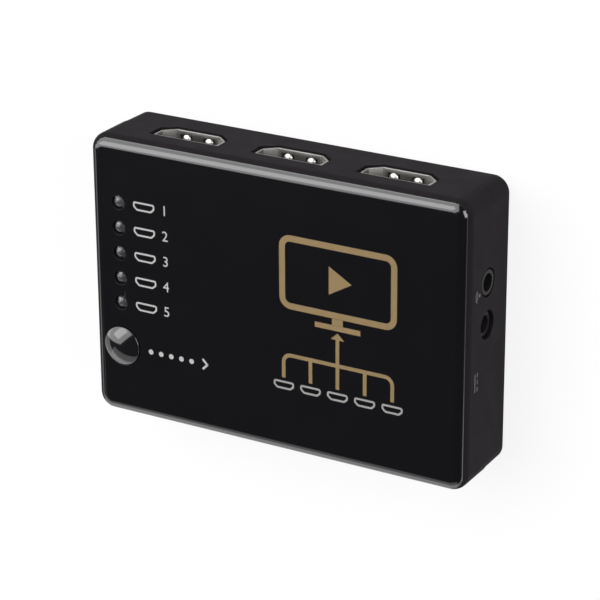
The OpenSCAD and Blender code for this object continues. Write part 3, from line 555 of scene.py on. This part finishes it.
lamp_places = [((low.x + high.x) / 2, (low.y + high.y) / 2, low.z) for low, high in lamp_boxes]
clear_resin = finish("clear_resin", (0.75, 0.76, 0.78), 0.05, 0.6, 0.001, drift=0.05, specular=1.0)
resin = clear_resin.node_tree.nodes["Principled BSDF"]
resin.inputs["Transmission Weight"].default_value = 0.94
resin.inputs["IOR"].default_value = 1.53
tinned = finish("tinned_leads", (0.58, 0.58, 0.59), 0.35, 0.1, 0.002, metal=1.0)
lenses = set_out("lamp_lenses", lathe("lens", lens_outline), lamp_places, clear_resin)
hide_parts(*[f"indicator_lamp_{i}" for i in lamps])
set_out("lamp_lead_frames", lead_frame, lamp_places, tinned)
dress(tinned, "lamp_leads", "switch_terminals", "selector_leads", "controller_leads", "regulator_leads")

# Select button: a low polished dome in black plastic that stands just proud of its round hole.
# A flange under the panel keeps it in, and its stem rests on the tact switch.
button_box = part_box("select_button")
button_radius = 4.1 * mm
button_flange = 5.2 * mm
button_dome = 7.6 * mm
button_stem = 1.7 * mm
stem_edge = 0.15 * mm
button_rim = 0.22 * mm
flange_low = 3.95 * mm
flange_high = 4.75 * mm
button_top = button_box[1].z - button_box[0].z
dome_edge = math.degrees(math.acos((button_radius - button_rim) / (button_dome - button_rim)))
dome_centre = button_top - button_dome
rim_height = dome_centre + (button_dome - button_rim) * math.sin(math.radians(dome_edge))
button_outline = [(0, 0), *arc(button_stem - stem_edge, stem_edge, stem_edge, -90, 0, 3),
                  (button_stem, flange_low), (button_flange, flange_low), (button_flange, flange_high),
                  (button_radius, flange_high),
                  *arc(button_radius - button_rim, rim_height, button_rim, 0, dome_edge, 5),
                  *arc(0, dome_centre, button_dome, dome_edge, 90, 24)[1:]]
button_mesh = lathe("select_button_cap", button_outline, 96)
button_x = button_box[1].x - button_flange
button_y = (button_box[0].y + button_box[1].y) / 2
work = bmesh.new()
work.from_mesh(button_mesh)
flat = bmesh.ops.bisect_plane(work, geom=[*work.verts, *work.edges, *work.faces],
                              plane_co=(button_box[0].x - button_x, 0, 0),
                              plane_no=(-1, 0, 0), clear_outer=True)
flat_edges = [part for part in flat["geom_cut"] if isinstance(part, bmesh.types.BMEdge)]
bmesh.ops.contextual_create(work, geom=flat_edges)
work.to_mesh(button_mesh)
work.free()
button_mesh.transform(Matrix.Translation((button_x, button_y, button_box[0].z)))
polished = finish("polished_black", (0.005, 0.005, 0.0058), 0.1, 0.8, 0.0005, drift=0.1, specular=1.0)
button_mesh.materials.append(polished)
button = shown("select_button_cap", button_mesh, "button")
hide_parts("select_button")

# Tact switch: a moulded housing on the board with a stamped cover plate, a plunger under the button's stem
# and a thin steel snap dome, which gives way when pressed in the real switch but is a fixed piece here.
switch_black = finish("switch_plastic", (0.018, 0.018, 0.02), 0.5, 0.2, 0.004)
stamped = finish("stamped_steel", (0.56, 0.56, 0.56), 0.34, 0.12, 0.002, metal=1.0)
moulded("tact_switch_housing", "switch_housing", fine_edge, switch_black)
moulded("tact_switch_plate", "switch_plate", 0.04 * mm, stamped)
moulded("tact_switch_plunger", "switch_plunger", fine_edge, switch_black, body="plunger")
dome_low, dome_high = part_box("switch_dome")
dome_radius = (dome_high.x - dome_low.x) / 2
dome_rise = dome_high.z - dome_low.z
dome_sheet = 0.1 * mm
dome_bend = (dome_radius ** 2 + dome_rise ** 2) / (2 * dome_rise)
dome_start = math.degrees(math.acos(dome_radius / dome_bend))
snap_outline = [*arc(0, dome_rise - dome_bend, dome_bend, dome_start, 90, 10),
                *reversed(arc(0, dome_rise - dome_bend, dome_bend - dome_sheet, dome_start + 3.0, 90, 10))]
snap_mesh = lathe("snap_dome", snap_outline)
snap_place = ((dome_low.x + dome_high.x) / 2, (dome_low.y + dome_high.y) / 2, dome_low.z)
snap_mesh.transform(Matrix.Translation(snap_place))
snap_mesh.materials.append(stamped)
snap_dome = shown("snap_dome", snap_mesh, "case")
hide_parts("switch_dome")
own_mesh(snap_dome)

# Power jack: a moulded block on the board, whose nose stands behind the case's round hole. A nickel-plated
# pin fills the middle of its bore, and a bronze spring presses on the plug's sleeve.
jack_black = finish("jack_plastic", (0.012, 0.012, 0.013), 0.45, 0.25, 0.004, specular=0.12)
bronze = finish("spring_bronze", (0.6, 0.44, 0.2), 0.3, 0.12, 0.002, metal=1.0)
plated = finish("pin_plating", (0.8, 0.79, 0.77), 0.32, 0.1, 0.001, metal=1.0)
moulded("power_jack_block", "power_jack_body", 0.12 * mm, jack_black)
moulded("power_jack_centre_pin", "power_jack_pin", 0.11 * mm, plated)
dress(bronze, "power_jack_spring", "round_jack_springs")

# Round jack: a moulded body whose nose fills the case's hole, for the plug of a remote eye.
moulded("round_jack_block", "round_jack_body", 0.12 * mm, jack_black)

# Parts on the board: chips moulded in black resin, a drawn aluminium capacitor on its base,
# and small fired ceramic capacitors and resistors.
resin_black = finish("chip_resin", (0.016, 0.016, 0.018), 0.6, 0.15, 0.004)
drawn = finish("drawn_aluminium", (0.72, 0.73, 0.74), 0.3, 0.15, 0.002, metal=1.0)
ceramic = finish("fired_ceramic", (0.34, 0.21, 0.12), 0.55, 0.15, 0.004)
glaze = finish("resistor_glaze", (0.02, 0.02, 0.022), 0.25, 0.15, 0.002)
moulded("selector_chip_body", "selector_chip", fine_edge, resin_black)
moulded("controller_chip_body", "controller_chip", fine_edge, resin_black)
moulded("regulator_body", "regulator", fine_edge, resin_black)
moulded("filter_can", "filter_capacitor_can", 0.25 * mm, drawn)
moulded("filter_can_base", "filter_capacitor_base", fine_edge, switch_black)
moulded("ceramic_capacitors", "small_capacitors", 0.05 * mm, ceramic)
moulded("chip_resistors", "resistors", 0.03 * mm, glaze)

# Panel print: pad-printed inks on the polished panel. White marks number the lamps and show the button's
# round; a gilt picture of a screen fed by five lines tells what the box does.
ink = 0.03 * mm
white_ink = finish("white_ink", (0.42, 0.412, 0.404), 0.5, 0.1, 0.002, drift=0.08)
gilt_ink = finish("gilt_ink", (0.275, 0.19, 0.088), 0.42, 0.1, 0.002, drift=0.1, metal=0.3)
silver_ink = finish("silver_ink", (0.34, 0.333, 0.325), 0.42, 0.1, 0.002, drift=0.1, metal=0.3)


def stroke_tree():
    """Ribbons of ink along the edges of a mesh, with rounded corners."""
    tree, given, result = node_tree("ink_strokes", Width="Float", Bend="Float", Ink="Float",
                                    Finish="Material")
    make, join = tree.nodes.new, tree.links.new
    line = make("GeometryNodeMeshToCurve")
    join(given.outputs["Geometry"], line.inputs["Mesh"])
    bends = make("GeometryNodeFilletCurve")
    bends.mode = "POLY"
    bends.inputs["Count"].default_value = 6
    bends.inputs["Limit Radius"].default_value = True
    join(line.outputs["Curve"], bends.inputs["Curve"])
    join(given.outputs["Bend"], bends.inputs["Radius"])
    flat_line = make("GeometryNodeSetCurveNormal")
    flat_line.mode = "Z_UP"
    join(bends.outputs["Curve"], flat_line.inputs["Curve"])
    ribbon = make("GeometryNodeCurvePrimitiveQuadrilateral")
    join(given.outputs["Width"], ribbon.inputs["Width"])
    join(given.outputs["Ink"], ribbon.inputs["Height"])
    stroke = make("GeometryNodeCurveToMesh")
    stroke.inputs["Fill Caps"].default_value = True
    join(flat_line.outputs["Curve"], stroke.inputs["Curve"])
    join(ribbon.outputs["Curve"], stroke.inputs["Profile Curve"])
    return finished_tree(tree, given, stroke.outputs["Mesh"], result)


ink_strokes = stroke_tree()


def drawn_lines(lines, width, bend, material):
    """Ink strokes along lines of (x, y) points in mm. A line that ends where it starts is closed."""
    points = []
    edges = []
    for line in lines:
        loop = line[0] == line[-1]
        kept = line[:-1] if loop else line
        first = len(points)
        points += [(x * mm, y * mm, panel_z) for x, y in kept]
        edges += [(first + i, first + i + 1) for i in range(len(kept) - 1)]
        if loop:
            edges.append((len(points) - 1, first))
    host = bpy.data.meshes.new("lines")
    host.from_pydata(points, edges, [])
    return grown(host, ink_strokes, Width=width * mm, Bend=bend * mm, Ink=2 * ink, Finish=material)


def patch(points):
    """A filled patch of ink with the given outline, in mm."""
    work = bmesh.new()
    face = work.faces.new([work.verts.new((x * mm, y * mm, panel_z - ink)) for x, y in points])
    raised = bmesh.ops.extrude_face_region(work, geom=[face])["geom"]
    for vert in raised:
        if isinstance(vert, bmesh.types.BMVert):
            vert.co.z += 2 * ink
    bmesh.ops.recalc_face_normals(work, faces=work.faces)
    mesh = bpy.data.meshes.new("patch")
    work.to_mesh(mesh)
    work.free()
    return mesh


def figure(text, size, x, y):
    """A printed figure, centred on a place in mm."""
    letters = bpy.data.curves.new("figure", "FONT")
    letters.body = text
    letters.size = size * mm
    letters.extrude = ink
    letters.align_x = "CENTER"
    letters.align_y = "CENTER"
    holder = bpy.data.objects.new("figure", letters)
    bpy.context.scene.collection.objects.link(holder)
    mesh = bpy.data.meshes.new_from_object(holder.evaluated_get(bpy.context.evaluated_depsgraph_get()))
    bpy.data.objects.remove(holder)
    mesh.transform(Matrix.Translation((x * mm, y * mm, panel_z)))
    return mesh


def socket_sign(x, y, share):
    """The outline of a socket's mouth, at a share of its real size, as a closed line."""
    line = [(x + across / mm * share, y + up / mm * share) for across, up in mouth_corners(0)]
    return line + line[:1]


def printed(name, material, *meshes):
    """Ink meshes as one piece on the panel."""
    mesh = joined(name, *meshes)
    mesh.materials.clear()
    mesh.materials.append(material)
    mesh.shade_flat()
    return shown(name, mesh, "case")


lamp_rows = [place[1] / mm for place in lamp_places]
sign_x = -29.2
figure_x = -24.4
printed("lamp_marks", white_ink,
        *[figure(str(i), 3.0, figure_x, y) for i, y in zip(lamps, lamp_rows)],
        drawn_lines([socket_sign(sign_x, y, 0.33) for y in lamp_rows], 0.36, 0.3, white_ink))
step_y = button_y / mm
dot_radius = 0.55
dot_turns = [a * math.pi / 12 for a in range(24)]
dot_places = [-28.4 + 2.4 * i for i in range(5)]
dots = [patch([(x + dot_radius * math.cos(a), step_y + dot_radius * math.sin(a)) for a in dot_turns])
        for x in dot_places]
arrow_x = -16.2
arrow_size = 1.1
arrow = [(arrow_x, step_y + arrow_size), (arrow_x + arrow_size, step_y), (arrow_x, step_y - arrow_size)]
printed("button_mark", white_ink, *dots, drawn_lines([arrow], 0.45, 0.1, white_ink))
screen_x = 14.5
screen_y = 9.0
screen_half = (12.2, 7.0)
screen_line = [(screen_x + sx * screen_half[0], screen_y + sy * screen_half[1])
               for sx, sy in ((-1, -1), (1, -1), (1, 1), (-1, 1), (-1, -1))]
screen_low = screen_y - screen_half[1]
foot_y = screen_low - 2.6
play_back = screen_x - 1.9
play_half = 2.9
play_sign = [(play_back, screen_y - play_half), (screen_x + 3.1, screen_y), (play_back, screen_y + play_half)]
printed("screen_sign", gilt_ink,
        drawn_lines([screen_line], 1.3, 1.8, gilt_ink),
        drawn_lines([[(screen_x - 5, foot_y), (screen_x + 5, foot_y)]], 1.1, 0.1, gilt_ink),
        drawn_lines([[(screen_x, foot_y + 0.6), (screen_x, screen_low - 0.7)]], 2.4, 0.1, gilt_ink),
        patch(play_sign))
feed_y = -15.0
feed_low = feed_y + 1.6
bus_y = -8.4
bus_width = 0.8
head_y = foot_y - 2.4
feed_x = [screen_x + 6.0 * (i - 2) for i in range(5)]
bus = [(feed_x[0], feed_low), (feed_x[0], bus_y), (feed_x[4], bus_y), (feed_x[4], feed_low)]
branches = [[(x, feed_low), (x, bus_y - bus_width / 2)] for x in feed_x[1:4]]
printed("feed_lines", gilt_ink,
        drawn_lines([bus], bus_width, 1.6, gilt_ink),
        drawn_lines(branches, bus_width, 0.1, gilt_ink),
        drawn_lines([[(screen_x, bus_y + bus_width / 2), (screen_x, head_y)]], bus_width, 0.1, gilt_ink),
        patch([(screen_x - 1.5, head_y), (screen_x + 1.5, head_y), (screen_x, foot_y - 1.0)]))
printed("feed_signs", silver_ink,
        drawn_lines([socket_sign(x, feed_y, 0.3) for x in feed_x], 0.4, 0.3, silver_ink))

# End marks: two small signs printed in thin grey ink on the end with the jacks, a receiving eye by the
# round jack and the sign for direct current by the power jack.
grey_ink = finish("grey_ink", (0.1, 0.098, 0.095), 0.6, 0.1, 0.002, drift=0.15)
mark_z = 13.4
eye_y = 9.9
current_y = -7.7


def bow(x, y, radius, start, end):
    """A line of points on an arc, in mm."""
    return [(x + across, y + along) for across, along in arc(0, 0, radius, start, end, 8)]


eye_z = mark_z - 0.7
bar_z = mark_z + 0.5
dash_z = mark_z - 0.5
dash_half = 0.45
dash_middles = [current_y + step for step in (-1.45, 0, 1.45)]
end_marks = joined(
    "end_marks",
    patch(bow(eye_y, eye_z, 0.35, 0, 315)),
    drawn_lines([bow(eye_y, eye_z, radius, 40, 140) for radius in (0.9, 1.5)], 0.25, 0.05, grey_ink),
    drawn_lines([[(current_y - 1.9, bar_z), (current_y + 1.9, bar_z)],
                 *[[(y - dash_half, dash_z), (y + dash_half, dash_z)] for y in dash_middles]],
                0.3, 0.05, grey_ink))
end_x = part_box("top_cover")[1].x
end_marks.transform(Matrix(((0, 0, 1, end_x - panel_z), (1, 0, 0, 0), (0, 1, 0, 0), (0, 0, 0, 1))))
printed("end_marks", grey_ink, end_marks)

# Floor and light: a white sweep that curves up at its far edge, a large soft lamp at the upper left with a
# brighter middle, a weak wide one in front and two small fills at the right, as in a plain product studio.
floor_radius = 2.4
sweep_radius = 0.5
sweep_height = 0.9
floor_outline = [(0, 0), (0.3, 0), (floor_radius - sweep_radius, 0),
                 *arc(floor_radius - sweep_radius, sweep_radius, sweep_radius, -90, 0, 10),
                 (floor_radius, sweep_height)]
floor_mesh = lathe("floor", floor_outline, 96)
floor_mesh.flip_normals()
white_floor = finish("white_floor", (0.9, 0.9, 0.9), 0.8, 40, 0.0, drift=0.01, specular=0.1)
floor_nodes = white_floor.node_tree.nodes
ray = floor_nodes.new("ShaderNodeLightPath")
seen = floor_nodes.new("ShaderNodeMath")
seen.operation = "MAXIMUM"
seen_through = floor_nodes.new("ShaderNodeMath")
seen_through.operation = "MAXIMUM"
lift = floor_nodes.new("ShaderNodeMath")
lift.operation = "MULTIPLY"
lift.inputs[1].default_value = 0.85
white = floor_nodes.new("ShaderNodeEmission")
blend = floor_nodes.new("ShaderNodeMixShader")
join = white_floor.node_tree.links.new
join(ray.outputs["Is Camera Ray"], seen.inputs[0])
join(ray.outputs["Is Glossy Ray"], seen.inputs[1])
join(seen.outputs["Value"], seen_through.inputs[0])
join(ray.outputs["Is Transmission Ray"], seen_through.inputs[1])
join(seen_through.outputs["Value"], lift.inputs[0])
join(lift.outputs["Value"], blend.inputs["Fac"])
join(floor_nodes["Principled BSDF"].outputs["BSDF"], blend.inputs[1])
join(white.outputs["Emission"], blend.inputs[2])
join(blend.outputs["Shader"], floor_nodes["Material Output"].inputs["Surface"])
floor_mesh.materials.append(white_floor)
floor = bpy.data.objects.new("floor", floor_mesh)
bpy.context.scene.collection.objects.link(floor)


def softbox(name, place, aim, size, brightness):
    """An upright soft lamp at a place, turned squarely to an aim point, evenly bright over its face."""
    lamp = bpy.data.lights.new(name, "AREA")
    lamp.shape = "RECTANGLE"
    lamp.size, lamp.size_y = size
    lamp.energy = brightness * math.pi * size[0] * size[1]
    holder = bpy.data.objects.new(name, lamp)
    bpy.context.scene.collection.objects.link(holder)
    holder.location = place
    holder.rotation_mode = "QUATERNION"
    holder.rotation_quaternion = (Vector(place) - Vector(aim)).to_track_quat("Z", "Y")


softbox("key", (-0.552, 0.439, 1.375), (0.2, -0.318, 1.104), (2.44, 2.31), 2.3)
softbox("key_core", (-0.68, 0.427, 1.17), (0.072, -0.33, 0.899), (1.1, 0.75), 2.3)
softbox("front", (-0.33, -0.94, 0.44), (0, 0, 0.01), (1.5, 0.85), 0.65)
softbox("right_fill", (0.93, -0.67, 0.36), (0, 0, 0.01), (0.4, 0.25), 1.1)
softbox("end_fill", (1.02, 0.3, 0.54), (0, 0, 0.01), (0.75, 0.75), 4.2)
world = bpy.data.worlds.new("studio")
world.use_nodes = True
world.node_tree.nodes["Background"].inputs["Color"].default_value = (0.05, 0.05, 0.053, 1)
bpy.context.scene.world = world
bpy.context.scene.view_settings.view_transform = "Standard"

# Camera: a long lens from above the corner between the shown sockets and the jacks, turned so that the box
# seems to stand on its hidden long side.
lens = bpy.data.cameras.new("camera")
lens.lens = 158.927
lens.sensor_width = 36.0
camera = bpy.data.objects.new("camera", lens)
bpy.context.scene.collection.objects.link(camera)
right = Vector((0.866533, -0.004886, -0.499095))
up = Vector((-0.185694, 0.925015, -0.331459))
back = Vector((0.46329, 0.3799, 0.800649))
turned = Matrix((right, up, back)).transposed().to_4x4()
camera.matrix_world = Matrix.Translation((0.24241, 0.19737, 0.42604)) @ turned
bpy.context.scene.camera = camera
